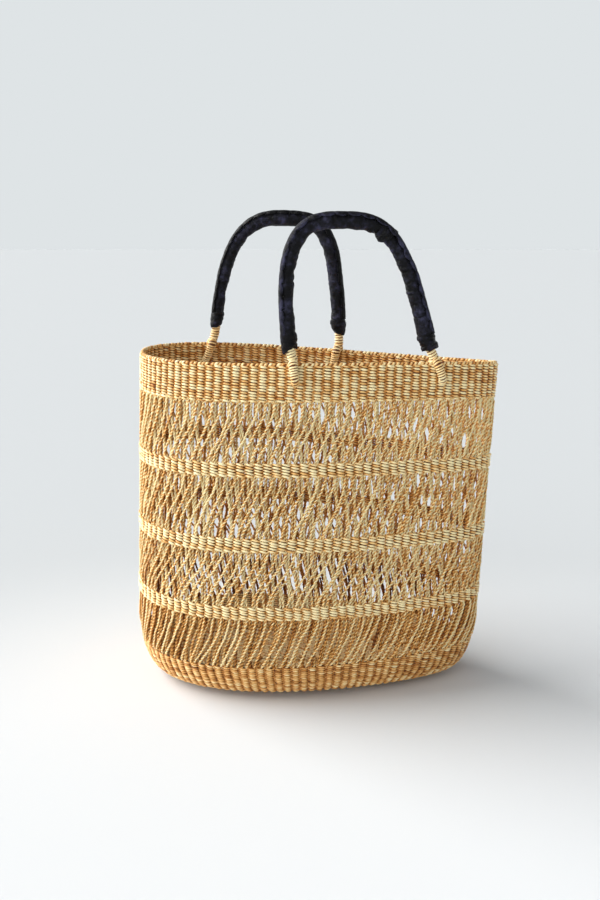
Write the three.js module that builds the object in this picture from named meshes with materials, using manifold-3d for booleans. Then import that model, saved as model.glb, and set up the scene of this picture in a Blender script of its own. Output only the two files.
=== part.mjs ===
// Woven market basket: an egg-shaped oval tote of twined straw, with four bands of open lace work
// between solid hoops, and two straw-cored handles bound in black leather.
// Millimetres, +Z up, +X along the basket's length, -Y to its front.
// The origin is the centre of the base's underside.

import * as THREE from "three";
import { mergeVertices } from "three/addons/utils/BufferGeometryUtils.js";
import Module from "manifold-3d";

const wasm = await Module();
wasm.setup();

// ---- Driving dimensions ----

const RIM_HEIGHT = 352;
const RIM_LENGTH = 380;
const RIM_DEPTH = 137;
const BODY_LENGTH = 373;
const BODY_DEPTH = 218;
const BODY_DEPTH_HEIGHT = 105; // below this height the wall doesn't narrow
const PINCH = 0.33; // share of the depth that the right end loses and the left end gains

// The hand-made wall leans to the right as it rises, and its hoops aren't quite level.
const LEAN = 13;
const HOOP_DROP = 0.0235; // fall of a hoop per millimetre towards the right
const HOOP_TWIST = 0.00038; // lift of the front right and back left of the rim
const DROP_START = 42;
const DROP_FULL = 123;

const WALL = 5;
const GAP = 0.3; // between pieces that touch
const HEEL_HEIGHT = 69; // the wall turns into the base along a quarter ellipse
const HEEL_INSET = 34;

// Heights of the edges between the bands, from the base up.
const HEEL_TOP = 42;
const HOOP_EDGES = [
  [95, 108.5],
  [164, 178],
  [239, 253],
];
const RIM_BAND_BOTTOM = 313;
const BRAID_RADIUS = 2.6;

// Both handles are alike: the back one's roots are the front one's, turned half way round the rim.
const ROOT_ANGLES = [-95.7, -49.3].map(THREE.MathUtils.degToRad);
const LASHING_RADIUS = 4.2;
const LASHING_OFFSET = 7.2; // of each leg from the wall's middle
const LASHING_DEPTH = 13; // from the rim down to where the legs turn through the wall
const LASHING_RISE = 1.5; // of the legs above the rim
const LASHING_RAKES = [0.182, 0.409]; // how far each root goes along the wall, per millimetre down
const HINGE_RISE = 8; // of the hinge line above the rim
const HANDLE_HEIGHT = 131; // from the hinge line to the top of the core's centre line
const HANDLE_SQUARENESS = 3.15;
const HANDLE_TAPER = 0.115;
// How far each arch's top leans towards its first root, and how late in the rise it does so.
const HANDLE_SWAYS = {
  front: { reach: 22.5, lateness: 0.75 },
  back: { reach: 7, lateness: 4 },
};
const CORE_RADIUS = 3.6;
const CORE_START = 3; // along the arch, from the hinge line
const CORE_GAP = 0.6;
const KNUCKLE_RADIUS = 4.8;
const LEATHER_RADIUS = 6.6;
const LEATHER_START = 4.5;
const CUFF_RADIUS = 8.1;
const SEAM_WIDTH = 3;
const SEAM_THICKNESS = 1.2;

const AROUND = 40; // segments round a hoop
const TUBE_SIDES = 8;
const ARCH_STEPS = 28; // along a handle's leather
const CUFF_STEPS = 2; // of them, under each cuff

// ---- Materials ----

const finish = (color, roughness) =>
  new THREE.MeshStandardMaterial({ color, roughness, metalness: 0 });
const twinedStraw = finish(0xd6b075, 0.62);
const laceStraw = finish(0xc49a5a, 0.65);
const boundStraw = finish(0xd9bc84, 0.6);
const pith = finish(0xb89560, 0.8);
const leather = finish(0x1c1e27, 0.5);
const lacing = finish(0x14151b, 0.55);

// ---- The wall's surface ----

const share = (value, low, high) =>
  THREE.MathUtils.clamp((value - low) / (high - low), 0, 1);

// How far the heel has turned in at a height. The deeper a layer lies in the wall, the tighter it turns.
function heelInset(height, depth) {
  const fall = share(height, HEEL_HEIGHT, depth);
  return (HEEL_INSET - depth) * (1 - Math.sqrt(1 - fall ** 2));
}

function wallPoint(angle, height, depth = 0) {
  const up = height / RIM_HEIGHT;
  const narrowing = share(height, BODY_DEPTH_HEIGHT, RIM_HEIGHT) ** 1.2;
  const inset = heelInset(height, depth);
  const halfLength = THREE.MathUtils.lerp(BODY_LENGTH, RIM_LENGTH, up) / 2 - inset;
  const halfDepth = THREE.MathUtils.lerp(BODY_DEPTH, RIM_DEPTH, narrowing) / 2 - inset;
  const x = halfLength * Math.cos(angle);
  const y = halfDepth * Math.sin(angle) * (1 - PINCH * Math.cos(angle));
  const drop = HOOP_DROP * THREE.MathUtils.smoothstep(height, DROP_START, DROP_FULL);
  return new THREE.Vector3(x + LEAN * up, y, height - drop * x - HOOP_TWIST * up * x * y);
}

// The level direction that points straight out of the wall.
function wallNormal(angle, height) {
  const step = 0.001;
  const along = wallPoint(angle + step, height).sub(wallPoint(angle - step, height));
  return new THREE.Vector3(along.y, -along.x, 0).normalize();
}

// A point of the wall, by its depth in from the outer face.
const wallAt = (angle, height, depth) =>
  wallPoint(angle, height, depth).addScaledVector(wallNormal(angle, height), -depth);

// ---- Making meshes ----

// Joins shared vertices, so that a geometry is one closed surface.
function welded(geometry) {
  geometry.deleteAttribute("normal");
  geometry.deleteAttribute("uv");
  return mergeVertices(geometry, 1e-3);
}

function solidOf(geometry) {
  const closed = welded(geometry);
  return new wasm.Manifold(
    new wasm.Mesh({
      numProp: 3,
      vertProperties: new Float32Array(closed.attributes.position.array),
      triVerts: new Uint32Array(closed.index.array),
    }),
  );
}

function geometryOf(solid) {
  const { vertProperties, triVerts } = solid.getMesh();
  return new THREE.BufferGeometry()
    .setAttribute("position", new THREE.BufferAttribute(vertProperties, 3))
    .setIndex(new THREE.BufferAttribute(triVerts, 1));
}

function mesh(name, geometry, material) {
  geometry.computeVertexNormals();
  const made = new THREE.Mesh(geometry, material);
  made.name = name;
  return made;
}

// Turns a closed profile of (depth, height) points round the basket, following its wall.
const LATHE_RADIUS = 100;
function hoopGeometry(profile) {
  const points = profile.map(([depth, height]) => new THREE.Vector2(LATHE_RADIUS - depth, height));
  const geometry = new THREE.LatheGeometry([...points, points[0]], AROUND);
  geometry.rotateX(Math.PI / 2);
  const position = geometry.attributes.position;
  for (let i = 0; i < position.count; i++) {
    const x = position.getX(i);
    const y = position.getY(i);
    const point = wallAt(Math.atan2(y, x), position.getZ(i), LATHE_RADIUS - Math.hypot(x, y));
    position.setXYZ(i, ...point);
  }
  return welded(geometry);
}

// The wall's own profile between two heights, cut level at both.
function wallProfile(bottom, top, steps) {
  const heights = Array.from({ length: steps + 1 }, (_, i) => bottom + ((top - bottom) * i) / steps);
  const outer = heights.map((height) => [0, height]);
  const inner = heights.map((height) => [WALL, height]);
  return [...outer, ...inner.reverse()];
}

const wallRing = (name, bottom, top, steps, material) =>
  mesh(name, hoopGeometry(wallProfile(bottom + GAP / 2, top - GAP / 2, steps)), material);

function circle(radius, hole = 0) {
  const shape = new THREE.Shape().absarc(0, 0, radius, 0, 2 * Math.PI);
  if (hole) shape.holes.push(new THREE.Path().absarc(0, 0, hole, 0, 2 * Math.PI));
  return shape;
}

const swept = (shape, extrudePath, steps) =>
  new THREE.ExtrudeGeometry(shape, {
    extrudePath,
    steps,
    curveSegments: TUBE_SIDES / 2,
    bevelEnabled: false,
  });

// ---- The woven body ----

function baseMat() {
  const geometry = new THREE.CylinderGeometry(1, 1, WALL, AROUND, 1).rotateX(Math.PI / 2);
  geometry.translate(0, 0, WALL / 2);
  const position = geometry.attributes.position;
  for (let i = 0; i < position.count; i++) {
    const x = position.getX(i);
    const y = position.getY(i);
    const height = position.getZ(i);
    const angle = Math.atan2(y, x);
    const edge = wallAt(angle, height, height).addScaledVector(wallNormal(angle, 0), -GAP);
    edge.multiplyScalar(Math.hypot(x, y));
    position.setXYZ(i, edge.x, edge.y, height);
  }
  return mesh("base_mat", welded(geometry), twinedStraw);
}

// The heel's outer face starts level with the underside of the base, and its inner face with the top.
function heelBand() {
  const steps = 5;
  const turns = Array.from({ length: steps + 1 }, (_, i) => (i / steps) ** 1.6);
  const top = HEEL_TOP - GAP / 2;
  const outer = turns.map((t) => [0, top * t]);
  const inner = turns.map((t) => [WALL, THREE.MathUtils.lerp(WALL, top, t)]);
  return mesh("heel_band", hoopGeometry([...outer, ...inner.reverse()]), twinedStraw);
}

function lacePanels() {
  const bottoms = [HEEL_TOP, ...HOOP_EDGES.map(([, top]) => top)];
  const tops = [...HOOP_EDGES.map(([bottom]) => bottom), RIM_BAND_BOTTOM];
  return bottoms.map((bottom, i) => wallRing(`lace_panel_${i + 1}`, bottom, tops[i], i ? 2 : 3, laceStraw));
}

const twinedBands = () =>
  HOOP_EDGES.map(([bottom, top], i) => wallRing(`twined_band_${i + 1}`, bottom, top, 1, twinedStraw));

// The rim band, pierced where the lashings pass through it.
function rimBand() {
  const top = RIM_HEIGHT - 2 * BRAID_RADIUS;
  let solid = solidOf(hoopGeometry(wallProfile(RIM_BAND_BOTTOM + GAP / 2, top - GAP / 2, 2)));
  for (const root of roots()) {
    solid = solid.subtract(solidOf(lashingGeometry(root, LASHING_RADIUS + GAP)));
  }
  return mesh("rim_band", geometryOf(solid), twinedStraw);
}

function rimBraid() {
  const sides = 8;
  const profile = Array.from({ length: sides }, (_, i) => {
    const turn = (2 * Math.PI * (i + 0.5)) / sides;
    return [
      WALL / 2 - BRAID_RADIUS * Math.cos(turn),
      RIM_HEIGHT - BRAID_RADIUS + BRAID_RADIUS * Math.sin(turn),
    ];
  });
  return mesh("rim_braid", hoopGeometry(profile), boundStraw);
}

// ---- The lashings ----

// The four places where a handle is rooted in the rim.
function roots() {
  const sides = [
    { side: "front", turn: 0, ends: ["left", "right"] },
    { side: "back", turn: Math.PI, ends: ["right", "left"] },
  ];
  return sides.flatMap(({ side, turn, ends }) =>
    ROOT_ANGLES.map((angle, i) => ({
      side,
      end: ends[i],
      angle: angle + turn,
      rake: LASHING_RAKES[i],
    })),
  );
}

// A point of a root's raked line, by its rise above the rim and its offset from the wall's middle.
function lashingPoint({ angle, rake }, rise, offset) {
  const height = RIM_HEIGHT + Math.min(rise, 0);
  const out = wallNormal(angle, RIM_HEIGHT);
  const along = new THREE.Vector3(-out.y, out.x, 0);
  return wallPoint(angle, height)
    .addScaledVector(out, offset - WALL / 2)
    .addScaledVector(along, -rake * rise)
    .add(new THREE.Vector3(0, 0, Math.max(rise, 0)));
}

// A bound hairpin of straw: down the outside of the wall, through it, and up the inside.
function lashingGeometry(root, radius) {
  const rises = [LASHING_RISE, -LASHING_DEPTH / 2, -LASHING_DEPTH];
  const outerLeg = rises.map((rise) => lashingPoint(root, rise, LASHING_OFFSET));
  const innerLeg = rises.map((rise) => lashingPoint(root, rise, -LASHING_OFFSET)).reverse();
  const bend = [1, 2, 3, 4, 5].map((i) => {
    const turn = (Math.PI * i) / 6;
    const drop = LASHING_DEPTH + LASHING_OFFSET * Math.sin(turn);
    return lashingPoint(root, -drop, LASHING_OFFSET * Math.cos(turn));
  });
  return swept(circle(radius), new THREE.CatmullRomCurve3([...outerLeg, ...bend, ...innerLeg]), 12);
}

const lashings = () =>
  roots().map((root) => {
    const geometry = welded(lashingGeometry(root, LASHING_RADIUS));
    return mesh(`lashing_${root.side}_${root.end}`, geometry, boundStraw);
  });

// ---- The handles ----

// The line of a handle's core, in its own frame: X from the first root to the second, Z up.
class Arch extends THREE.Curve {
  constructor(span, sway) {
    super();
    this.span = span;
    this.sway = sway;
    this.arcLengthDivisions = 600;
  }

  getPoint(t, target = new THREE.Vector3()) {
    const power = 2 / HANDLE_SQUARENESS;
    const rise = Math.abs(Math.sin(Math.PI * t)) ** power;
    const cosine = Math.cos(Math.PI * t);
    const across = -Math.sign(cosine) * Math.abs(cosine) ** power;
    const waist = 1 - HANDLE_TAPER * Math.sin((rise * Math.PI) / 2);
    const lean = this.sway.reach * rise ** this.sway.lateness;
    return target.set((this.span / 2) * across * waist - lean, 0, HANDLE_HEIGHT * rise);
  }
}

// A stretch of another curve, by its distance from one end.
class Stretch extends THREE.Curve {
  constructor(curve, from, to) {
    super();
    this.curve = curve;
    this.from = from / curve.getLength();
    this.to = to / curve.getLength();
  }

  getPoint(t, target) {
    return this.curve.getPointAt(THREE.MathUtils.lerp(this.from, this.to, t), target);
  }
}

// A strip's section, set off from the line it's swept along so as to lie on the leather's outer edge.
function seamSection() {
  const inner = -LEATHER_RADIUS - GAP;
  const outer = inner - SEAM_THICKNESS;
  return new THREE.Shape()
    .moveTo(-SEAM_WIDTH / 2, outer)
    .lineTo(SEAM_WIDTH / 2, outer)
    .lineTo(SEAM_WIDTH / 2, inner)
    .lineTo(-SEAM_WIDTH / 2, inner)
    .closePath();
}

function handle(side, sway) {
  const [first, second] = roots()
    .filter((root) => root.side === side)
    .map((root) => ({ end: root.end, point: lashingPoint(root, HINGE_RISE, 0) }));
  const span = first.point.distanceTo(second.point);
  const arch = new Arch(span, sway);
  const length = arch.getLength();
  const step = (length - 2 * LEATHER_START) / ARCH_STEPS;
  const cuffEnd = LEATHER_START + CUFF_STEPS * step;

  const coreLine = new Stretch(arch, CORE_START, length - CORE_START);
  const sleeveLine = new Stretch(arch, LEATHER_START, length - LEATHER_START);
  const seamLine = new Stretch(arch, cuffEnd, length - cuffEnd);
  const firstCuffLine = new Stretch(arch, LEATHER_START, cuffEnd - GAP);
  const secondCuffLine = new Stretch(arch, length - cuffEnd + GAP, length - LEATHER_START);

  let core = solidOf(swept(circle(CORE_RADIUS), coreLine, ARCH_STEPS));
  for (const x of [-span / 2, span / 2]) {
    const knuckle = new THREE.SphereGeometry(KNUCKLE_RADIUS, 12, 8).translate(x, 0, 0);
    core = core.add(solidOf(knuckle));
  }
  const sleeve = swept(circle(LEATHER_RADIUS, CORE_RADIUS + CORE_GAP), sleeveLine, ARCH_STEPS);
  const seam = swept(seamSection(), seamLine, ARCH_STEPS - 2 * CUFF_STEPS);
  const cuffSection = circle(CUFF_RADIUS, LEATHER_RADIUS + GAP);
  const firstCuff = swept(cuffSection, firstCuffLine, CUFF_STEPS);
  const secondCuff = swept(cuffSection, secondCuffLine, CUFF_STEPS);

  const group = new THREE.Group();
  group.add(
    mesh(`${side}_handle_core`, geometryOf(core), pith),
    mesh(`${side}_handle_leather`, welded(sleeve), leather),
    mesh(`${side}_handle_seam`, welded(seam), lacing),
    mesh(`${side}_cuff_${first.end}`, welded(firstCuff), leather),
    mesh(`${side}_cuff_${second.end}`, welded(secondCuff), leather),
  );
  const across = second.point.clone().sub(first.point).normalize();
  const back = new THREE.Vector3(0, 0, 1).cross(across).normalize();
  const up = across.clone().cross(back);
  group.setRotationFromMatrix(new THREE.Matrix4().makeBasis(across, back, up));
  group.position.copy(first.point).lerp(second.point, 0.5);
  return group;
}

// ---- The basket ----

const basket = new THREE.Group();
basket.add(baseMat(), heelBand(), ...lacePanels(), ...twinedBands(), rimBand(), rimBraid());
basket.add(...lashings());
basket.add(handle("front", HANDLE_SWAYS.front), handle("back", HANDLE_SWAYS.back));

export default basket;
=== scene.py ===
"""A woven market basket: every straw strand, lace cord and leather piece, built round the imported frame.

Lengths are in millimetres until a mesh is made. A place on the wall is a column round it, where a
straw rib stands, and a run up it from the edge of the base: a run below zero lies in the base.
"""

import math
from typing import NamedTuple

import bpy
import numpy as np
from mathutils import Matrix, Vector


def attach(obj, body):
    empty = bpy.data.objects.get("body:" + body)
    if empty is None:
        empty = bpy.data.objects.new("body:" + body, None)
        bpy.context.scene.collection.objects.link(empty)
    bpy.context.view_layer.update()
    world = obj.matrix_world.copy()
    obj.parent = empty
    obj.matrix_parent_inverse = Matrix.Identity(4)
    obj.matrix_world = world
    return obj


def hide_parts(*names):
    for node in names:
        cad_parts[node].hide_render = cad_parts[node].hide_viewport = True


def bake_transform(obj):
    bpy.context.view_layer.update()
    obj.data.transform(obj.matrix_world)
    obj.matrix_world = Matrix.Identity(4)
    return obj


MM = 0.001

# ---- The wall, as the frame has it ----

# Heights above the floor and spans across the body. The right end is narrower by the pinch, the rim
# stands to the right of the base by the lean, and the hoops drop to the right and twist as they rise.
RIM_HEIGHT = 352
RIM_LENGTH = 380
RIM_DEPTH = 137
BODY_LENGTH = 373
BODY_DEPTH = 218
BODY_DEPTH_HEIGHT = 105
PINCH = 0.33
LEAN = 13
HOOP_DROP = 0.0235
HOOP_TWIST = 0.00038
DROP_START = 42
DROP_FULL = 123
WALL = 5
HEEL_HEIGHT = 69
HEEL_INSET = 34

HEEL_TOP = 42
HOOP_EDGES = [(95, 108.5), (164, 178), (239, 253)]
RIM_BAND_BOTTOM = 313

# ---- The handles, as the frame has them ----

# Each handle is rooted at two angles round the rim, in lashings that are raked and reach down the wall.
# Its arch is a superellipse that tapers towards its top and sways to one side as it rises.
ROOT_ANGLES = [math.radians(-95.7), math.radians(-49.3)]
LASHING_DEPTH = 13
LASHING_OFFSET = 7.2
LASHING_RAKES = [0.182, 0.409]
HINGE_RISE = 8
HANDLE_HEIGHT = 131
HANDLE_SQUARENESS = 3.15
HANDLE_TAPER = 0.115
HANDLE_SWAYS = {"front": (22.5, 0.75), "back": (7, 4)}

# ---- The weave ----

COLUMNS = 100
HEEL_ROWS = 22
HOOP_ROWS = 5
RIM_ROWS = 13
BASE_PITCH = 2.7
BASE_RIB_SPACING = 9.2


class Weave(NamedTuple):
    """How a row of two strands lies round the ribs.

    Outside, a strand lies nearly level over its rib and steps down beside it, more so the greater the
    flatness. Inside, it runs on an even slant, and painted shade darkens it there by the shade; a shade
    below zero paints it paler there instead, as painted light. The roundness is how deep it dips beside a
    rib, and also how much painted shade darkens it in the dips, and the swing is how far it stands out
    over one.
    """

    slant: float
    flatness: float
    roundness: float
    shade: float
    tone: float
    swing: float = 2.0
    steps: int = 5
    sides: int = 6


# The heel's and base's shade is below zero, painting their insides paler as painted light; the rim's and
# hoops' shade paints their insides darker as painted shade.
HEEL_WEAVE = Weave(slant=0.7, flatness=2, roundness=0.85, shade=-0.3, tone=0.84)
BASE_WEAVE = HEEL_WEAVE._replace(tone=0.9, swing=1.5, sides=5)
RIM_WEAVE = Weave(slant=0.75, flatness=2.4, roundness=0.9, shade=0.12, tone=1.08)
HOOP_WEAVE = Weave(
    slant=0.85, flatness=1.3, roundness=0.55, shade=0.35, tone=1.1, swing=2.7, steps=8, sides=7
)

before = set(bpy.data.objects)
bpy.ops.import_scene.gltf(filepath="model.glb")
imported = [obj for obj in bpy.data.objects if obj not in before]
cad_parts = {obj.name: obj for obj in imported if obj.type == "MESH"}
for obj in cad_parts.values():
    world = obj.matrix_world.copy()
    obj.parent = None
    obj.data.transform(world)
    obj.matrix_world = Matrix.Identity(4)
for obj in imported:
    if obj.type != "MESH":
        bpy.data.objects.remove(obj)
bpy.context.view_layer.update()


# ---- Small mathematics ----


def smoothstep(value, low=0.0, high=1.0):
    t = np.clip((value - low) / (high - low), 0, 1)
    return t * t * (3 - 2 * t)


def unit(vectors):
    return vectors / np.linalg.norm(vectors, axis=-1, keepdims=True)


def drift(rng, places, spacing):
    """Smooth random values about zero, one new knot every spacing, for rows of places."""
    places = np.atleast_2d(places)
    knots = int(np.ceil((places.max() - places.min()) / spacing)) + 2
    values = rng.normal(0, 1, (len(places), knots))
    at = (places - places.min()) / spacing
    low = np.floor(at).astype(int)
    blend = smoothstep(at - low)
    rows = np.arange(len(places))[:, None]
    return values[rows, low] * (1 - blend) + values[rows, low + 1] * blend


# ---- Places on the wall ----


def heel_profile():
    """Runs up the heel from the base's edge, with the height and the inset at each."""
    turn = np.linspace(math.pi / 2, 0, 200)
    height = HEEL_HEIGHT * (1 - np.sin(turn))
    inset = HEEL_INSET * (1 - np.cos(turn))
    run = np.concatenate([[0], np.cumsum(np.hypot(np.diff(height), np.diff(inset)))])
    return run, height, inset


HEEL_RUNS, HEEL_HEIGHTS, HEEL_INSETS = heel_profile()


def run_at(height):
    """The run at a height up the wall."""
    return np.interp(height, HEEL_HEIGHTS, HEEL_RUNS) + max(height - HEEL_HEIGHT, 0)


RIM_RUN = run_at(RIM_HEIGHT)


def base_lift(run):
    """How far the woven base stands off the floor: least in its middle, most near its edge."""
    return 0.7 * (1 - smoothstep(run, 0, 30)) + 5.0 * np.exp(-(((run - 2) / 14) ** 2))


def face(angle, run):
    """Points of the wall's outer face, or of the base's underside."""
    height = np.interp(run, HEEL_RUNS, HEEL_HEIGHTS) + np.maximum(run - HEEL_RUNS[-1], 0)
    inset = np.interp(run, HEEL_RUNS, HEEL_INSETS) + np.maximum(-run, 0)
    up = height / RIM_HEIGHT
    narrowing = np.clip((height - BODY_DEPTH_HEIGHT) / (RIM_HEIGHT - BODY_DEPTH_HEIGHT), 0, 1) ** 1.2
    half_length = (BODY_LENGTH + (RIM_LENGTH - BODY_LENGTH) * up) / 2 - inset
    half_depth = (BODY_DEPTH + (RIM_DEPTH - BODY_DEPTH) * narrowing) / 2 - inset
    x = half_length * np.cos(angle)
    y = half_depth * np.sin(angle) * (1 - PINCH * np.cos(angle))
    drop = HOOP_DROP * smoothstep(height, DROP_START, DROP_FULL)
    z = height - drop * x - HOOP_TWIST * up * x * y + base_lift(run)
    return np.stack([x + LEAN * up, y, z], -1)


def wall(angle, run, offset):
    """Points at an offset out from the middle of the wall, and the wall's outward normals there."""
    angle, run, offset = np.broadcast_arrays(angle, run, offset)
    round_it = face(angle + 1e-3, run) - face(angle - 1e-3, run)
    up_it = face(angle, run + 0.1) - face(angle, run - 0.1)
    normal = unit(np.cross(round_it, up_it))
    return face(angle, run) + (offset - WALL / 2)[..., None] * normal, normal


class Ring:
    """Evenly spaced columns round the wall, by their distance along it at one run."""

    def __init__(self, run, columns):
        self.angles = np.linspace(-math.pi, math.pi, 1441)
        steps = np.linalg.norm(np.diff(face(self.angles, np.float64(run)), axis=0), axis=1)
        self.length = steps.sum()
        self.columns = columns
        self.marks = np.concatenate([[0], np.cumsum(steps)]) * columns / self.length

    def angle(self, column):
        return np.interp(np.mod(column, self.columns), self.marks, self.angles)


WALL_RING = Ring(run_at(200), COLUMNS)


# ---- Meshes of many tubes ----

# How much painted shade darkens a strand's edges, where it meets its neighbours, against its middle.
EDGE_SHADE = 0.5


class Tubes:
    """Closed tubes of straw, leather or thong that share one mesh.

    Each vertex carries its tint, from 0 for dark straw to 1 for pale, which holds painted shade and
    painted highlights as well as the straw's own tone, and its grain: its place in a straightened tube, in
    millimetres, which lets the material draw streaks and creases along it.
    """

    def __init__(self):
        self.points = []
        self.tints = []
        self.grains = []
        self.loops = []
        self.sizes = []
        self.corners = 0
        self.tubes = 0

    def rings(self, points, grain, tint, closed=False):
        """Adds tubes from their rings of points: (tube, ring, place round it, 3)."""
        tubes, steps, around = points.shape[:3]
        shape = (tubes, steps, around)
        self.points.append(points.reshape(-1, 3))
        self.grains.append(grain.reshape(-1, 3))
        self.tints.append(np.broadcast_to(tint, shape).reshape(-1))
        corner = self.corners + np.arange(tubes * steps * around).reshape(shape)
        here = corner if closed else corner[:, :-1]
        ahead = np.roll(corner, -1, 1) if closed else corner[:, 1:]
        self.faces(np.stack([here, np.roll(here, -1, 2), np.roll(ahead, -1, 2), ahead], -1))
        if not closed:
            self.faces(corner[:, 0, ::-1])
            self.faces(corner[:, -1])
        self.corners += corner.size
        self.tubes += tubes

    def faces(self, corners):
        corners = corners.reshape(-1, corners.shape[-1])
        self.loops.append(corners.reshape(-1))
        self.sizes.append(np.full(*corners.shape))

    def strands(self, centres, outwards, width, thickness, tint, sides, closed=False):
        """Adds rows of strands: centres and outwards are (strand, point, 3), the rest (strand, point).

        Painted shade darkens the edges, where strands meet their neighbours, against the middles.
        """
        shape = centres.shape[:2]
        width, thickness, tint = (np.broadcast_to(v, shape) for v in (width, thickness, tint))
        if closed:
            along = np.roll(centres, -1, 1) - np.roll(centres, 1, 1)
        else:
            along = np.gradient(centres, axis=1)
        across = unit(np.cross(along, outwards))
        out = unit(np.cross(across, along))
        turn = 2 * math.pi * np.arange(sides) / sides
        up = thickness[..., None] / 2 * np.cos(turn)
        side = width[..., None] / 2 * np.sin(turn)
        points = centres[:, :, None] + up[..., None] * out[:, :, None]
        points = points + side[..., None] * across[:, :, None]
        distance = travelled(centres) + 37.0 * (self.tubes + np.arange(shape[0]))[:, None]
        grain = np.stack([up, side, np.broadcast_to(distance[..., None], up.shape)], -1)
        # Painted shade on each strand's edges.
        self.rings(points, grain, tint[..., None] - EDGE_SHADE * (1 - np.abs(np.cos(turn))), closed)

    def object(self, name):
        sizes = np.concatenate(self.sizes)
        return mesh_object(
            name,
            np.concatenate(self.points),
            np.concatenate(self.loops),
            np.concatenate([[0], np.cumsum(sizes)[:-1]]),
            {"tint": np.concatenate(self.tints), "grain": np.concatenate(self.grains)},
        )


def travelled(lines):
    """The distance along each line of points at each of its points."""
    steps = np.diff(lines, axis=-2, prepend=lines[..., :1, :])
    return np.cumsum(np.linalg.norm(steps, axis=-1), axis=-1)


def mesh_object(name, points, loops, starts, attributes):
    mesh = bpy.data.meshes.new(name)
    mesh.vertices.add(len(points))
    mesh.vertices.foreach_set("co", (points * MM).astype(np.float32).reshape(-1))
    mesh.loops.add(len(loops))
    mesh.loops.foreach_set("vertex_index", loops.astype(np.int32))
    mesh.polygons.add(len(starts))
    mesh.polygons.foreach_set("loop_start", starts.astype(np.int32))
    mesh.update(calc_edges=True)
    mesh.polygons.foreach_set("use_smooth", np.ones(len(starts), bool))
    for key, values in attributes.items():
        kind, field = ("FLOAT", "value") if values.ndim == 1 else ("FLOAT_VECTOR", "vector")
        layer = mesh.attributes.new(key, kind, "POINT")
        layer.data.foreach_set(field, values.astype(np.float32).reshape(-1))
    made = bpy.data.objects.new(name, mesh)
    bpy.context.scene.collection.objects.link(made)
    return made


# ---- Materials ----


class Shader:
    """A node material, and short ways to add nodes to it."""

    def __init__(self, name, **settings):
        self.material = bpy.data.materials.new(name)
        self.material.use_nodes = True
        self.tree = self.material.node_tree
        self.surface = self.tree.nodes["Principled BSDF"]
        for socket, value in settings.items():
            self.surface.inputs[socket.replace("_", " ")].default_value = value

    def node(self, kind, inputs=None, **settings):
        node = self.tree.nodes.new("ShaderNode" + kind)
        for key, value in settings.items():
            setattr(node, key, value)
        for key, value in (inputs or {}).items():
            if isinstance(value, bpy.types.NodeSocket):
                self.tree.links.new(value, node.inputs[key])
            else:
                node.inputs[key].default_value = value
        return node

    def link(self, output, socket):
        self.tree.links.new(output, self.surface.inputs[socket])

    def attribute(self, name):
        return self.node("Attribute", attribute_name=name)

    def math(self, operation, first, second):
        return self.node("Math", {0: first, 1: second}, operation=operation).outputs[0]

    def ripple(self, value, amount):
        """A value that lies round a half, moved to lie round zero, times an amount."""
        return self.math("MULTIPLY", self.math("SUBTRACT", value, 0.5), amount)

    def scaled(self, vector, scales):
        return self.node("VectorMath", {0: vector, 1: scales}, operation="MULTIPLY").outputs[0]

    def ramp(self, factor, stops):
        node = self.node("ValToRGB", {"Fac": factor})
        elements = node.color_ramp.elements
        while len(elements) < len(stops):
            elements.new(1)
        for element, (position, colour) in zip(elements, stops):
            element.position = position
            element.color = colour
        return node.outputs["Color"]

    def noise(self, vector, scale, detail=2.0, roughness=0.5):
        inputs = {"Vector": vector, "Scale": scale, "Detail": detail, "Roughness": roughness}
        return self.node("TexNoise", inputs).outputs["Fac"]

    def bump(self, height, distance, strength=1.0, normal=None):
        inputs = {"Height": height, "Distance": distance, "Strength": strength}
        if normal is not None:
            inputs["Normal"] = normal
        return self.node("Bump", inputs).outputs["Normal"]


def light_of(level):
    """The light, from 0 to 1, that a screen gives at a level from 0 to 255."""
    return ((level / 255 + 0.055) / 1.055) ** 2.4 if level > 10 else level / 255 / 12.92


def linear(red, green, blue):
    """A colour given as it looks on a screen, from 0 to 255."""
    return light_of(red), light_of(green), light_of(blue), 1


STRAW_COLOURS = [
    (0.0, linear(94, 46, 10)),
    (0.3, linear(170, 103, 38)),
    (0.55, linear(214, 150, 76)),
    (0.8, linear(244, 199, 127)),
    (1.0, linear(255, 238, 188)),
]
LACE_COLOURS = [
    (0.0, linear(98, 48, 10)),
    (0.3, linear(176, 107, 37)),
    (0.55, linear(226, 160, 76)),
    (0.8, linear(250, 204, 127)),
    (1.0, linear(255, 237, 184)),
]


def straw_material(name, colours):
    """Straw whose tint shifts with fine fibres along it and with longer blotches from place to place."""
    shader = Shader(name, Roughness=0.42, Specular_IOR_Level=0.4)
    tint = shader.attribute("tint").outputs["Fac"]
    grain = shader.attribute("grain").outputs["Vector"]
    fibres = shader.noise(shader.scaled(grain, (1, 1, 0.06)), 2.6, 3.0, 0.6)
    blotches = shader.noise(shader.scaled(grain, (0.2, 0.2, 1)), 0.16, 2.0)
    shifted = shader.math("ADD", tint, shader.ripple(fibres, 0.55))
    shifted = shader.math("ADD", shifted, shader.ripple(blotches, 0.5))
    shader.link(shader.ramp(shifted, colours), "Base Color")
    shader.link(shader.bump(fibres, 0.00035, 0.8), "Normal")
    return shader.material


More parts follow.
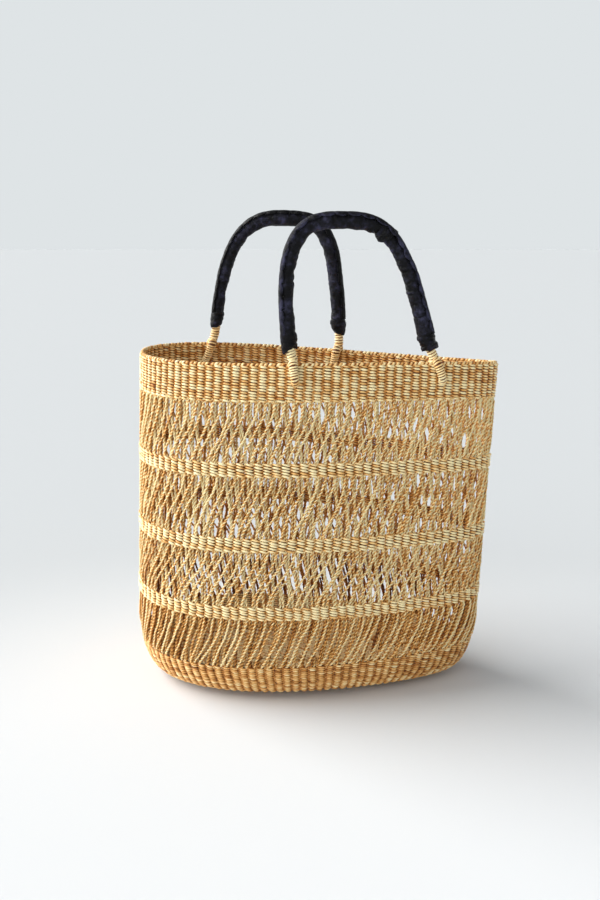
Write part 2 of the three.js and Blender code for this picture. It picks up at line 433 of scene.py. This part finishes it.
def leather_material(name, tone):
    """Black leather with painted sheen, paler and duller on its ridges and in blotches, and painted shade
    in its creases.
    """
    shader = Shader(name, Specular_IOR_Level=0.12, Sheen_Weight=0.02, Sheen_Roughness=0.5)
    where = shader.node("TexCoord").outputs["Object"]
    pores = shader.node("TexVoronoi", {"Vector": where, "Scale": 1500.0}).outputs["Distance"]
    wrinkles = shader.noise(where, 260.0, 4.0, 0.6)
    tint = shader.attribute("tint").outputs["Fac"]
    # Painted sheen: pale blotches and the wrinkles' ridges stand for highlights, and the tint adds painted
    # shade in the creases and painted highlight on the ridges.
    painted_sheen_and_shade = shader.noise(where, 70.0, 5.0, 0.65)
    painted_sheen_and_shade = shader.math("ADD", painted_sheen_and_shade, shader.ripple(wrinkles, 0.45))
    painted_sheen_and_shade = shader.math("ADD", painted_sheen_and_shade, shader.math("SUBTRACT", tint, 0.5))
    shades = [(0.36, 0.35), (0.5, 1.0), (0.6, 2.2), (0.75, 4.4)]
    colours = [(stop, linear(*(share * level for level in tone))) for stop, share in shades]
    shader.link(shader.ramp(painted_sheen_and_shade, colours), "Base Color")
    glosses = [(stop, (rough, rough, rough, 1)) for stop, rough in [(0.3, 0.3), (0.7, 0.6)]]
    shader.link(shader.ramp(painted_sheen_and_shade, glosses), "Roughness")
    grain = shader.bump(pores, 0.00012, 0.5)
    shader.link(shader.bump(wrinkles, 0.002, 0.9, grain), "Normal")
    return shader.material


TWINED = straw_material("twined_straw", STRAW_COLOURS)
LACE = straw_material("lace_straw", LACE_COLOURS)
BOUND = straw_material("bound_straw", STRAW_COLOURS)
LEATHER = leather_material("leather", (13, 13, 18))
THONG = leather_material("lacing", (8, 8, 13))


def place(piece, material, body, node):
    """Gives a piece its material, the body that it rides on, and the node that it stands for."""
    piece.data.materials.append(material)
    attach(piece, body)
    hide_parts(node)


# ---- Twined rows ----


def twined_row(tubes, ring, run, pitch, weave, rng):
    """One course: two strands that change sides between ribs, so each covers every second rib."""
    column = np.tile(np.arange(ring.columns * weave.steps) / weave.steps, (2, 1))
    turn = math.pi * (column + np.array([[0.0], [1.0]]))
    over = np.abs(np.cos(turn))
    swell = 1 + 0.07 * drift(rng, column, 1.5)
    out = weave.swing * np.sign(np.cos(turn)) * over**weave.roundness * swell
    outside = np.sign(np.sin(turn)) * np.abs(np.sin(turn)) ** weave.flatness
    inside = np.arcsin(np.sin(turn)) * 2 / math.pi
    fall = weave.slant * np.where(np.cos(turn) > 0, outside, inside)
    lie = run - fall + 0.09 * drift(rng, column, 2.5)
    centres, normals = wall(ring.angle(column + rng.uniform(-0.06, 0.06)), lie, out)
    tint = weave.tone + 0.09 * drift(rng, column, 14) + 0.13 * drift(rng, column, 1.4)
    # Painted shade in the dips beside each rib, by the roundness, and on the inside face by the weave's
    # shade, which paints that face paler where it is below zero.
    tint = tint - 0.75 * weave.roundness * (1 - over) ** 1.5 - weave.shade * (np.cos(turn) < 0)
    width = pitch * (0.56 + 0.34 * over) * swell
    thickness = 2.0 * (0.6 + 0.4 * over)
    tubes.strands(centres, normals, width, thickness, tint, weave.sides, closed=True)


def ribs(tubes, low, high, rng):
    """The upright straw ribs inside a band, tinted nearly black as painted shade in the gaps between rows.
    """
    column = np.arange(COLUMNS)[:, None]
    run = np.linspace(low, high, max(int((high - low) / 5), 3))[None]
    centres, normals = wall(WALL_RING.angle(column), run, np.zeros(1))
    # Painted shade: the ribs' dark tint makes the gaps between the rows read dark.
    tint = 0.05 + 0.1 * rng.normal(size=(COLUMNS, 1))
    tubes.strands(centres, normals, 7.6, 1.7, tint, 6)


def twined_band(name, node, low, high, rows, weave, seed):
    """A band of close rows over its ribs, between two runs up the wall."""
    rng = np.random.default_rng(seed)
    tubes = Tubes()
    pitch = (high - low) / rows
    for row in range(rows):
        twined_row(tubes, WALL_RING, low + pitch * (row + 0.5), pitch, weave, rng)
    ribs(tubes, low + 0.5, high - 0.5, rng)
    place(tubes.object(name), TWINED, "basket", node)


def base_mat():
    """Courses laid round and round a straight spine, each with as many ribs as it has room for."""
    rng = np.random.default_rng(3)
    tubes = Tubes()
    deepest = BODY_DEPTH / 2 - HEEL_INSET
    for course in range(int(deepest / BASE_PITCH)):
        run = -BASE_PITCH * (course + 0.5)
        pairs = round(Ring(run, 2).length / (2 * BASE_RIB_SPACING))
        twined_row(tubes, Ring(run, max(2 * pairs, 4)), run, BASE_PITCH, BASE_WEAVE, rng)
    place(tubes.object("base_mat_weave"), TWINED, "basket", "base_mat")


def twined_bands():
    """The heel, in two pieces, the three hoops and the rim band."""
    top = run_at(HEEL_TOP)
    middle = top / 2 + 0.4
    rows = HEEL_ROWS // 2
    twined_band("heel_weave_lower", "heel_band", 0.8, middle, rows, HEEL_WEAVE, 4)
    twined_band("heel_weave_upper", "heel_band", middle, top, rows, HEEL_WEAVE, 5)
    for hoop, (low, high) in enumerate(HOOP_EDGES, start=1):
        name, node = f"hoop_weave_{hoop}", f"twined_band_{hoop}"
        twined_band(name, node, run_at(low), run_at(high), HOOP_ROWS, HOOP_WEAVE, 5 + hoop)
    low, high = run_at(RIM_BAND_BOTTOM), RIM_RUN - 2.6
    twined_band("rim_weave", "rim_band", low, high, RIM_ROWS, RIM_WEAVE, 9)


# ---- Lace cords ----

# A cord's plies, at a size of one: each ply's radius, and how far its line lies from the cord's.
PLY_RADIUS = 0.88
PLY_SPREAD = 0.8
TWIST_PITCH = 8.6


def s_curve(t):
    """A fall that starts and ends steep and slants most in its middle."""
    return 0.3 * t + 0.7 * smoothstep(t)


def late_curve(t):
    """A fall that slants more and more."""
    return t**1.45


def late_s_curve(t):
    """An s_curve that slants most below its middle."""
    return s_curve(t**1.2)


class Layer(NamedTuple):
    """One set of a panel's cords, a cord to each rib.

    The cords start at a share of the way between two ribs, and pass some ribs on their way down, as the
    ease says. The offset is how far they lie outside the middle of the wall.
    """

    first: float
    shift: float
    offset: float
    tone: float
    ease: object = s_curve
    step: float = 1.6
    size: float = 1.1
    sides: int = 5


def outer_layer(shift, ease):
    return Layer(0.5, shift, 1.7, 1.0, ease, step=1.2, size=0.9, sides=6)


def crossing_layers(tone):
    """Two inner sets that slant against the outer one."""
    return [Layer(0.3, -1.1, -0.3, tone), Layer(0.8, -0.3, -1.5, tone - 0.05)]


# The outer layer and the inner layers of each panel, from the lowest panel up. In the upper three panels
# the inner layers are paler than the outer one: painted light, standing in for light through the wall.
PANELS = [
    (outer_layer(2.3, late_curve), [Layer(0.15, 1.5, -0.4, 0.66), Layer(0.65, 0.8, -1.6, 0.6)]),
    (outer_layer(2.9, s_curve), crossing_layers(1.05)),
    (outer_layer(2.6, s_curve), crossing_layers(1.1)),
    (outer_layer(2.3, late_s_curve), crossing_layers(1.15)),
]


def cord_lines(low, high, layer, rng):
    """Lines down a panel from every rib, with the wanderings of handwork, and the normals there."""
    tuck = 3.0
    length = high - low + 2 * tuck
    steps = int(length * 1.12 / layer.step)
    run = np.tile(high + tuck - length * np.linspace(0, 1, steps), (COLUMNS, 1))
    fall = np.clip((high - run) / (high - low), 0, 1)
    middle = np.sin(math.pi * fall)
    own = rng.normal(size=(4, COLUMNS, 1))
    column = np.arange(COLUMNS)[:, None] + layer.first + 0.06 * own[0]
    column = column - layer.shift * (1 + 0.09 * own[1]) * layer.ease(fall)
    column = column + 0.14 * own[2] * middle + 0.06 * drift(rng, run, 12) * middle**0.5
    out = layer.offset * smoothstep(fall, 0, 0.06) * smoothstep(1 - fall, 0, 0.06)
    return wall(WALL_RING.angle(column), run, out + 0.3 * own[3] * middle)


def twisted(tubes, centres, normals, layer, rng):
    """A two-ply cord on each line. Painted shade darkens a ply where it dips behind the other, and painted
    highlight pales it where it faces out.
    """
    along = unit(np.gradient(centres, axis=1))
    across = unit(np.cross(along, normals))
    outward = np.cross(across, along)
    turn = rng.uniform(0, 2 * math.pi, (COLUMNS, 1)) + 2 * math.pi * travelled(centres) / TWIST_PITCH
    radial = np.cos(turn)[..., None] * outward + np.sin(turn)[..., None] * across
    size = layer.size * (1 + 0.08 * rng.normal(size=(COLUMNS, 1)))
    tone = layer.tone + 0.12 * rng.normal(size=(COLUMNS, 1)) + 0.06 * drift(rng, travelled(centres), 9)
    thick = 2 * PLY_RADIUS * size
    for side in (-1, 1):
        lines = centres + side * (PLY_SPREAD * size)[..., None] * radial
        # Painted highlight where the ply faces out, painted shade where it turns behind the other.
        tint = tone + 0.07 * rng.normal(size=(COLUMNS, 1)) + 0.32 * (side * np.cos(turn) - 0.25)
        tubes.strands(lines, side * radial, thick, thick, tint, layer.sides)


def lace_panels():
    lows = [HEEL_TOP] + [high for _, high in HOOP_EDGES]
    highs = [low for low, _ in HOOP_EDGES] + [RIM_BAND_BOTTOM]
    for panel, (low, high, (outer, inner)) in enumerate(zip(lows, highs, PANELS), start=1):
        rng = np.random.default_rng(10 + panel)
        for part, layers in (("outer", [outer]), ("inner", inner)):
            tubes = Tubes()
            for layer in layers:
                centres, normals = cord_lines(run_at(low), run_at(high), layer, rng)
                twisted(tubes, centres, normals, layer, rng)
            piece = tubes.object(f"lace_{panel}_{part}")
            place(piece, LACE, "basket", f"lace_panel_{panel}")


# ---- The rim's border ----


def rim_border():
    """Wraps of straw that turn over a core along the rim, two to each rib, one fuller than the next."""
    rng = np.random.default_rng(31)
    tubes = Tubes()
    middle = RIM_RUN - 1.8
    column = np.arange(COLUMNS * 3)[None] / 3
    centres, normals = wall(WALL_RING.angle(column), middle, np.zeros(1))
    tubes.strands(centres, normals, 3.0, 2.4, 0.3, 6, closed=True)
    turn = np.linspace(-0.75 * math.pi, 1.2 * math.pi, 16)[None]
    for part, (reach, size) in enumerate([(1.25, 3.3), (1.1, 2.9)]):
        lean = 0.55 * (turn + 0.75 * math.pi) / (2 * math.pi)
        columns = np.arange(COLUMNS)[:, None] + 0.5 * part + lean - 0.5
        columns = columns + 0.06 * rng.normal(size=(COLUMNS, 1))
        radius = reach * (1 + 0.06 * rng.normal(size=(COLUMNS, 1)))
        angle = WALL_RING.angle(columns)
        centres, _ = wall(angle, middle + 1.1 * radius * np.sin(turn), radius * np.cos(turn))
        hub, _ = wall(angle, middle, np.zeros(1))
        tint = 0.92 + 0.15 * rng.normal(size=(COLUMNS, 1))
        width = size * (1 + 0.08 * rng.normal(size=(COLUMNS, 1)))
        tubes.strands(centres, unit(centres - hub), width, 1.2, tint, 6)
    place(tubes.object("rim_border"), BOUND, "basket", "rim_braid")


# ---- Bound straw: lashings and necks ----


def smooth_path(points, steps):
    """A Catmull-Rom curve through the points."""
    points = np.asarray(points, float)
    padded = np.concatenate([[2 * points[0] - points[1]], points, [2 * points[-1] - points[-2]]])
    place_on = np.linspace(0, len(points) - 1 - 1e-9, steps)
    k = np.floor(place_on).astype(int)
    t = (place_on - k)[:, None]
    a, b, c, d = (padded[k + i] for i in range(4))
    bend = 2 * a - 5 * b + 4 * c - d
    turn = 3 * b - a - 3 * c + d
    return 0.5 * (2 * b + (c - a) * t + bend * t**2 + turn * t**3)


COIL_TONE = 1.05
COIL_THICKNESS = 1.7


def bound(tubes, path, radius, pitch, rng):
    """A core along a path, bound with a flat straw coil that makes up the given outer radius."""
    distance = travelled(path)
    fine = np.linspace(0, distance[-1], int(distance[-1] / pitch * 16))
    centre = np.stack([np.interp(fine, distance, path[:, k]) for k in range(3)], -1)
    reach = np.interp(fine, distance, radius) - 0.75
    along = unit(np.gradient(centre, axis=0))
    side = unit(np.cross(along, (0.3, 1.0, 0.2)))
    other = np.cross(along, side)
    turn = 2 * math.pi * fine / pitch + rng.uniform(0, 6)
    radial = np.cos(turn)[:, None] * side + np.sin(turn)[:, None] * other
    wobble = 1 + 0.03 * drift(rng, fine, pitch * 0.7)[0]
    coil = centre + (reach * wobble)[:, None] * radial
    tint = COIL_TONE + 0.1 * drift(rng, fine, 11)[0] + 0.06 * drift(rng, fine, 2)[0]
    tubes.strands(coil[None], radial[None], pitch * 0.82, COIL_THICKNESS, tint[None], 6)
    core = 2 * reach[None, ::5]
    tubes.strands(centre[None, ::5], side[None, ::5], core, core, 0.15, 12)


class Root:
    """A place where a handle is rooted in the rim."""

    def __init__(self, side, end, angle, rake):
        self.side = side
        self.end = end
        self.rake = rake
        self.angle = angle
        level = unit((face(angle + 1e-3, RIM_RUN) - face(angle - 1e-3, RIM_RUN))[:2])
        self.out = np.array([level[1], -level[0], 0])
        self.along = np.array([level[0], level[1], 0])

    def point(self, rise, offset=0.0):
        """A point on the raked line, by its rise above the rim and its offset out of the wall's middle."""
        base = face(self.angle, RIM_RUN + min(rise, 0))
        lift = np.array([0, 0, max(rise, 0)])
        return base + self.out * (offset - WALL / 2) - self.along * self.rake * rise + lift


def handle_roots(side):
    turn = 0 if side == "front" else math.pi
    ends = ["left", "right"] if side == "front" else ["right", "left"]
    rows = zip(ends, ROOT_ANGLES, LASHING_RAKES)
    return [Root(side, end, angle + turn, rake) for end, angle, rake in rows]


def lashing(root, seed):
    """The bound hairpin through the rim: down its outside, through it and up its inside."""
    rng = np.random.default_rng(seed)
    leg = LASHING_OFFSET
    turns = np.linspace(0, math.pi, 7)[1:-1]
    bend = [root.point(-LASHING_DEPTH - leg * math.sin(t), leg * math.cos(t)) for t in turns]
    leg_places = [(2.5, 3.0), (0.5, 5.2), (-2.5, 6.9), (-6, leg), (-LASHING_DEPTH, leg)]
    down = [root.point(rise, offset) for rise, offset in leg_places]
    up = [root.point(rise, -offset) for rise, offset in leg_places[::-1]]
    path = smooth_path(down + bend + up, 120)
    end = np.abs(np.linspace(-1, 1, len(path)))
    radius = 4.1 + 0.8 * smoothstep(end, 0.3, 0.7) - 1.6 * smoothstep(end, 0.82, 1)
    tubes = Tubes()
    bound(tubes, path, radius, 2.4, rng)
    piece = tubes.object(f"lashing_{root.side}_{root.end}_binding")
    place(piece, BOUND, "basket", f"lashing_{root.side}_{root.end}")


# ---- The handles ----

# The seam lies a little way round the leather from the arch's outer side, and its stitches are evenly
# spaced. The leather starts at a distance along the arch from its hinge points.
STITCH_PITCH = 12.5
SEAM_TURN = 0.35
LEATHER_START = {"front": 4.5, "back": 9}
# How thick the leather is round its core, by the share of the arch's length.
SLEEVE_GIRTHS = {
    "front": ([0, 0.15, 0.45, 0.64, 0.8, 1], [7.0, 6.9, 7.9, 8.2, 8.0, 7.8]),
    "back": ([0, 0.15, 0.3, 0.5, 0.65, 0.85, 1], [7.3, 7.4, 8.0, 7.9, 7.2, 6.1, 6.1]),
}
# How far a cuff stands over its handle's leather, by the distance from the cuff's lower edge.
CUFFS = {
    "front": ([0, 5, 13, 22, 34], [1.3, 1.6, 1.4, 0.8, 0.2]),
    "back": ([0, 4, 9, 15, 22], [-0.6, 0.7, 1.6, 0.9, 0.2]),
}
CUFF_BORE = 3.4
# Where the front sleeve ends, over the start of a second one, as a share of the arch's length.
LAP = 0.63


class Arch:
    """The centre line of a handle, by the distance along it from its first hinge point."""

    def __init__(self, side):
        self.side = side
        self.roots = handle_roots(side)
        first, second = (root.point(HINGE_RISE) for root in self.roots)
        span = np.linalg.norm(second - first)
        across = (second - first) / span
        self.back = unit(np.cross((0, 0, 1), across))
        reach, lateness = HANDLE_SWAYS[side]
        turn = np.linspace(0, math.pi, 3001)
        power = 2 / HANDLE_SQUARENESS
        rise = np.abs(np.sin(turn)) ** power
        sideways = -np.sign(np.cos(turn)) * np.abs(np.cos(turn)) ** power
        taper = 1 - HANDLE_TAPER * np.sin(rise * math.pi / 2)
        x = span / 2 * sideways * taper - reach * rise**lateness
        level = (first + second) / 2 + x[:, None] * across
        self.line = level + HANDLE_HEIGHT * rise[:, None] * np.cross(across, self.back)
        self.marks = travelled(self.line)
        self.length = self.marks[-1]

    def point(self, distance):
        return np.stack([np.interp(distance, self.marks, self.line[:, k]) for k in range(3)], -1)

    def skin(self, distance, turn, radius):
        """Points at a radius from the line, turned from the arch's outer side to the basket's outside."""
        distance, turn, radius = np.broadcast_arrays(distance, turn, radius)
        along = unit(self.point(distance + 2) - self.point(distance - 2))
        outer = np.cross(along, self.back)
        direction = np.cos(turn)[..., None] * outer - np.sin(turn)[..., None] * self.back
        return self.point(distance) + radius[..., None] * direction


AROUND = 2 * math.pi * np.arange(56) / 56


def grain_of(distance, turn, radius):
    distance, turn, radius = np.broadcast_arrays(distance, turn, radius)
    return np.stack([radius * np.cos(turn), radius * np.sin(turn), distance], -1)


def lumps(rng, distance, spacing):
    """Soft swellings of a leather tube, by distance (rows) and turn (columns)."""
    total = drift(rng, distance, spacing)[0][:, None] * np.ones(len(AROUND))
    for waves in (1, 2, 3, 4):
        swing = drift(rng, distance, spacing)[0][:, None]
        twist = drift(rng, distance, 3 * spacing)[0][:, None]
        total = total + swing * np.cos(waves * AROUND[None] + twist + rng.uniform(0, 6)) / waves
    return total


def creases(rng, distance, places, count, depth):
    """Short grooves across a leather tube, gathered round the given (distance, turn, spread) places."""
    total = np.zeros((len(distance), len(AROUND)))
    for _ in range(count):
        centre, turn, spread = places[rng.integers(len(places))]
        middle = centre + spread * rng.normal()
        turned = (AROUND - turn - 0.7 * rng.normal() + math.pi) % (2 * math.pi) - math.pi
        line = middle + rng.normal(0, 1.6) * turned
        groove = np.exp(-(((distance[:, None] - line[None]) / rng.uniform(0.9, 2.2)) ** 2))
        total -= depth * rng.uniform(0.4, 1) * groove * np.exp(-((turned / rng.uniform(0.4, 1.2)) ** 2))
    return total


def leather_tint(folds):
    """Painted highlight makes leather paler on its ridges, and painted shade makes it darker in its
    creases.
    """
    return 0.56 + 0.22 * folds


def sleeve(tubes, arch, start, end, radius, rng, ragged=0.0):
    """A leather tube along part of the arch. A ragged end shows its cut edge over what it covers."""
    distance = np.linspace(start, end, int((end - start) / 0.75))
    first_bend, second_bend = 0.27 * arch.length, 0.73 * arch.length
    places = [
        (first_bend, math.pi, 16),
        (second_bend, math.pi, 16),
        (second_bend, 2.2, 30),
        (20, 2, 12),
        (arch.length - 20, 2, 12),
        (arch.length / 2, 2.5, 80),
    ]
    reach = radius(distance / arch.length)[:, None] + 0.28 * lumps(rng, distance, 8)
    folds = 0.07 * lumps(rng, distance, 3) + creases(rng, distance, places, 110, 0.55)
    if ragged:
        folds += creases(rng, distance, [(end - 9, 2.6, 5), (end - 7, 1.6, 4)], 18, 0.9)
    reach = reach + folds
    ramp = smoothstep(distance, end - 25, end)[:, None]
    edge = ragged * (np.cos(AROUND - 0.6) + 0.25 * np.cos(3 * AROUND) + 0.15 * np.cos(7 * AROUND + 1))
    along = distance[:, None] + ramp * edge
    if ragged:
        reach = reach + 1.9 * ramp**2
        tucked = reach[-1:] - np.array([[0.7], [2.8]])
        reach = np.concatenate([reach, tucked])
        along = np.concatenate([along, along[-1:] + 0.1, along[-1:] - 0.6])
        # The tucked rings under the cut edge are painted darker: painted shade beneath the edge.
        folds = np.concatenate([folds, [folds[-1] - 0.4, folds[-1] - 0.8]])
    points = arch.skin(along, AROUND, reach)
    # The tint carries painted highlight on the ridges and painted shade in the creases.
    tubes.rings(points[None], grain_of(along, AROUND, reach)[None], leather_tint(folds[None]))


def seam_flap(tubes, arch, start, end, radius, towards, rng):
    """The sleeve's lapped edge, pulled down at each stitch so that its free edge is scalloped."""
    distance = np.linspace(start, end, int((end - start) / 0.8))
    pull = np.abs(np.sin(math.pi * (distance - start) / STITCH_PITCH)) ** 0.6
    wander = 0.09 * drift(rng, distance, 24)[0] + 0.04 * drift(rng, distance, 5)[0]
    reach = radius(distance / arch.length)
    root = -0.45 + wander
    free = 0.42 + wander + 0.34 * pull
    across = np.linspace(0, 1, 7)
    crown = np.sin(math.pi * (0.08 + 0.62 * across))
    top = reach[:, None] + (1.5 + 0.6 * pull[:, None]) * crown
    under = reach[:, None] - 0.2 + (0.25 + 0.5 * pull[:, None]) * across[::-1]
    turn = root[:, None] + (free - root)[:, None] * np.concatenate([across, across[::-1] - 0.02])
    height = np.concatenate([top, under], 1)
    turn = towards * (turn + SEAM_TURN)
    if towards < 0:
        turn, height = turn[:, ::-1], height[:, ::-1]
    along = distance[:, None] * np.ones(turn.shape[1])
    # Painted highlight pales the top of the flap towards its free edge, and painted shade darkens its
    # underside.
    tint = np.concatenate([0.5 + 0.18 * across**2, np.full(len(across), 0.4)])
    tubes.rings(arch.skin(along, turn, height)[None], grain_of(along, turn, height)[None], tint)


def stitches(tubes, arch, start, end, radius, towards):
    """Thong stitches over the flap's free edge, one in each dip of the scallops."""
    across = np.linspace(0, 1, 8)
    turn = towards * (SEAM_TURN + 0.1 + 0.75 * across)
    hump = 1.25 * np.sin(math.pi * (0.25 + 0.78 * across)) - 0.15
    for stitch in range(1, int((end - start) / STITCH_PITCH) + 1):
        distance = start + stitch * STITCH_PITCH
        along = distance + 2.2 * (across - 0.5)
        line = arch.skin(along, turn, radius(distance / arch.length) + hump)
        outward = unit(line - arch.point(along))
        tubes.strands(line[None], outward[None], 1.3, 0.7, 0.4, 6)


def cuff(arch, root, flip, girth, towards, rng):
    """The gathered leather wrap at a handle's end: a shell round the sleeve, open over the neck."""
    heights, stands = CUFFS[arch.side]
    length = heights[-1]
    rise = np.linspace(0, length, int(length / 0.6))
    share = (rise / length)[:, None]
    outside = np.maximum(np.sin(AROUND), 0)
    wobble = 0.28 * lumps(rng, rise, 8) + 0.07 * lumps(rng, rise, 2.5)
    folds = creases(rng, rise, [(13, 0.6 * towards, 5), (8, 3.1, 6)], 22, 0.7)
    ear = 0.9 * np.exp(-(((rise - 13) / 4) ** 2))[:, None] * np.exp(2.5 * (-np.cos(AROUND) - 1))
    tuck = 2.8 * np.exp(-((rise / 4) ** 2))[:, None] * outside**0.7
    outer = girth - tuck + np.interp(rise, heights, stands)[:, None]
    outer = outer + wobble * (1 - 0.8 * share) + folds + ear
    low_edge = 0.8 * outside - 1.4 * np.cos(AROUND) + 0.3 * np.cos(5 * AROUND)
    low_edge = low_edge + 0.7 * np.cos(2 * AROUND + rng.uniform(0, 6))
    high_edge = 2.2 * np.cos(AROUND - 2 * towards) + 0.8 * np.cos(3 * AROUND + rng.uniform(0, 6))
    along = rise[:, None] + (1 - share) ** 2 * low_edge + share**2 * high_edge

    # The lining turns in under the lower edge and runs up the bore.
    bore = np.full((2, len(AROUND)), CUFF_BORE)
    lining = np.concatenate([outer[:1] - 1.3, outer[:1] - 1.5, bore])
    lining_along = np.array([[0.4], [4.0], [6.0], [length - 2]])
    lining_along = lining_along + np.array([[1.0], [0.5], [0], [0]]) * low_edge

    reach = np.concatenate([lining[::-1], outer])
    along = LEATHER_START[arch.side] + np.concatenate([lining_along[::-1], along])
    # The folds and lumps give painted shade and painted highlight; the lining's tint is even.
    shade = np.concatenate([np.zeros(lining.shape), folds + 0.3 * wobble])
    distance = arch.length - along if flip else along
    points = arch.skin(distance, AROUND, reach)
    grain = grain_of(distance, AROUND, reach)
    if flip:
        points, grain, shade = (rows[:, ::-1] for rows in (points, grain, shade))
    tubes = Tubes()
    tubes.rings(points[None], grain[None], leather_tint(shade[None]), closed=True)
    name = f"{arch.side}_cuff_{root.end}"
    place(tubes.object(name), LEATHER, f"{arch.side}_handle", name)


def neck(arch, root, flip, rng):
    """The bound straw between a lashing and the leather."""
    steps = 60
    rises = [arch.length - d if flip else d for d in (3, 7, LEATHER_START[arch.side] + 7)]
    path = [root.point(1.5), root.point(5)] + [arch.point(d) for d in rises]
    radius = np.interp(np.linspace(0, 1, steps), [0, 0.3, 1], [5.3, 5.0, 4.8])
    tubes = Tubes()
    bound(tubes, smooth_path(path, steps), radius, 2.9, rng)
    piece = tubes.object(f"{arch.side}_neck_{root.end}")
    piece.data.materials.append(BOUND)
    start, end = (root.point(HINGE_RISE + rise) * MM for rise in (-6, 6))
    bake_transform(piece)
    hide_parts(f"{arch.side}_handle_core")


def handle(side, towards, seed):
    """One handle: its leather sleeve, lapped seam, stitches, cuffs and bound necks."""
    rng = np.random.default_rng(seed)
    arch = Arch(side)
    body = f"{side}_handle"

    def radius(share):
        return np.interp(share, *SLEEVE_GIRTHS[side])

    def lapped_radius(share):
        return radius(share) - (0.3 + 0.8 * np.exp(-(((share - LAP - 0.025) / 0.05) ** 2)))

    start = LEATHER_START[side] + 8
    end = arch.length - start
    leather = Tubes()
    if side == "front":
        lap = LAP * arch.length
        sleeve(leather, arch, start, lap, radius, rng, ragged=3.0)
        sleeve(leather, arch, lap - 12, end, lapped_radius, rng)
    else:
        sleeve(leather, arch, start, end, radius, rng)
    place(leather.object(f"{side}_sleeve"), LEATHER, body, f"{side}_handle_leather")

    flap, thongs = Tubes(), Tubes()
    first, last = start + 8, end - 8
    seam_flap(flap, arch, first, last, radius, towards, rng)
    stitches(thongs, arch, first, last, radius, towards)
    place(flap.object(f"{side}_seam_flap"), LEATHER, body, f"{side}_handle_seam")
    place(thongs.object(f"{side}_seam_stitches"), THONG, body, f"{side}_handle_seam")

    for root, flip in zip(arch.roots, (False, True)):
        cuff(arch, root, flip, radius(flip), towards, rng)
        neck(arch, root, flip, rng)


# ---- Stage, light and camera: places in metres ----

FLOOR_RADIUS = 20
# Painted light: the floor is painted whitest in a pool round a point before the basket, out to a reach,
# and fades to the far floor's tone by the fade reach.
PAINTED_LIGHT_POOL_WHITE = linear(225, 228, 231)
FAR_FLOOR = linear(203, 207, 210)
PAINTED_LIGHT_POOL_CENTRE = (0.05, -0.45, 0)
PAINTED_LIGHT_POOL_REACH = 0.4
FADE_REACH = 0.95

AIR = linear(223, 228, 230)
OVERHEAD = linear(86, 88, 91)

EYE = (0.0959, -1.0958, 0.488)
EYE_TILT = 12.3
EYE_TURN = 5
LENS = 41.56
FRAME_SHIFT = -1 / 180


def stage():
    """A pale floor with a painted pool of light, whitest before the basket, that fades into the tone of
    the air far off.
    """
    turn = 2 * math.pi * np.arange(96) / 96
    rim = np.stack([np.cos(turn), np.sin(turn), 0 * turn], -1) * FLOOR_RADIUS / MM
    floor = mesh_object("floor", rim, np.arange(96), np.array([0]), {})
    shader = Shader("floor", Roughness=0.9, Specular_IOR_Level=0.1)
    where = shader.node("TexCoord").outputs["Object"]
    away = shader.node("VectorMath", {0: where, 1: PAINTED_LIGHT_POOL_CENTRE}, operation="DISTANCE").outputs["Value"]
    reach = {0: away, 1: PAINTED_LIGHT_POOL_REACH, 2: FADE_REACH}
    fade = shader.node("MapRange", reach, interpolation_type="SMOOTHSTEP")
    stops = [(0, PAINTED_LIGHT_POOL_WHITE), (1, FAR_FLOOR)]
    shader.link(shader.ramp(fade.outputs[0], stops), "Base Color")
    floor.data.materials.append(shader.material)


def daylight(name, direction, strength, spread, colour):
    """Parallel light that travels in a direction, softened over a spread in degrees."""
    data = bpy.data.lights.new(name, "SUN")
    data.energy = strength
    data.angle = math.radians(spread)
    data.color = colour
    light = bpy.data.objects.new(name, data)
    light.rotation_euler = Vector(direction).to_track_quat("-Z", "Y").to_euler()
    bpy.context.scene.collection.objects.link(light)


def lights():
    """A wide soft window on the left, high and a little behind, and fainter light from the front.

    The air is pale all round the horizon and dimmer overhead.
    """
    daylight("window", (3.8, -0.6, -2.2), 5.3, 60, (1, 0.985, 0.96))
    daylight("skylight", (0.9, 1.6, -1.2), 0.9, 60, (1, 0.99, 0.97))
    world = bpy.data.worlds.new("studio")
    world.use_nodes = True
    tree = world.node_tree
    height = tree.nodes.new("ShaderNodeSeparateXYZ")
    tree.links.new(tree.nodes.new("ShaderNodeTexCoord").outputs["Generated"], height.inputs[0])
    air = tree.nodes.new("ShaderNodeValToRGB")
    tree.links.new(height.outputs["Z"], air.inputs["Fac"])
    stops = [(0.21, AIR), (0.75, OVERHEAD)]
    for element, (position, colour) in zip(air.color_ramp.elements, stops):
        element.position = position
        element.color = colour
    tree.links.new(air.outputs["Color"], tree.nodes["Background"].inputs["Color"])
    bpy.context.scene.world = world
    bpy.context.scene.view_settings.view_transform = "Standard"


def camera():
    data = bpy.data.cameras.new("camera")
    data.sensor_fit = "VERTICAL"
    data.sensor_height = 36
    data.sensor_width = 24
    data.lens = LENS
    data.shift_x = FRAME_SHIFT
    data.clip_end = 20
    made = bpy.data.objects.new("camera", data)
    made.location = EYE
    made.rotation_euler = (math.radians(90 - EYE_TILT), 0, math.radians(EYE_TURN))
    bpy.context.scene.collection.objects.link(made)
    bpy.context.scene.camera = made


# ---- Putting it together ----


def main():
    stage()
    lights()
    camera()
    base_mat()
    twined_bands()
    rim_border()
    lace_panels()
    roots = handle_roots("front") + handle_roots("back")
    for seed, root in enumerate(roots, start=40):
        lashing(root, seed)
    handle("front", towards=1, seed=51)
    handle("back", towards=-1, seed=52)


main()
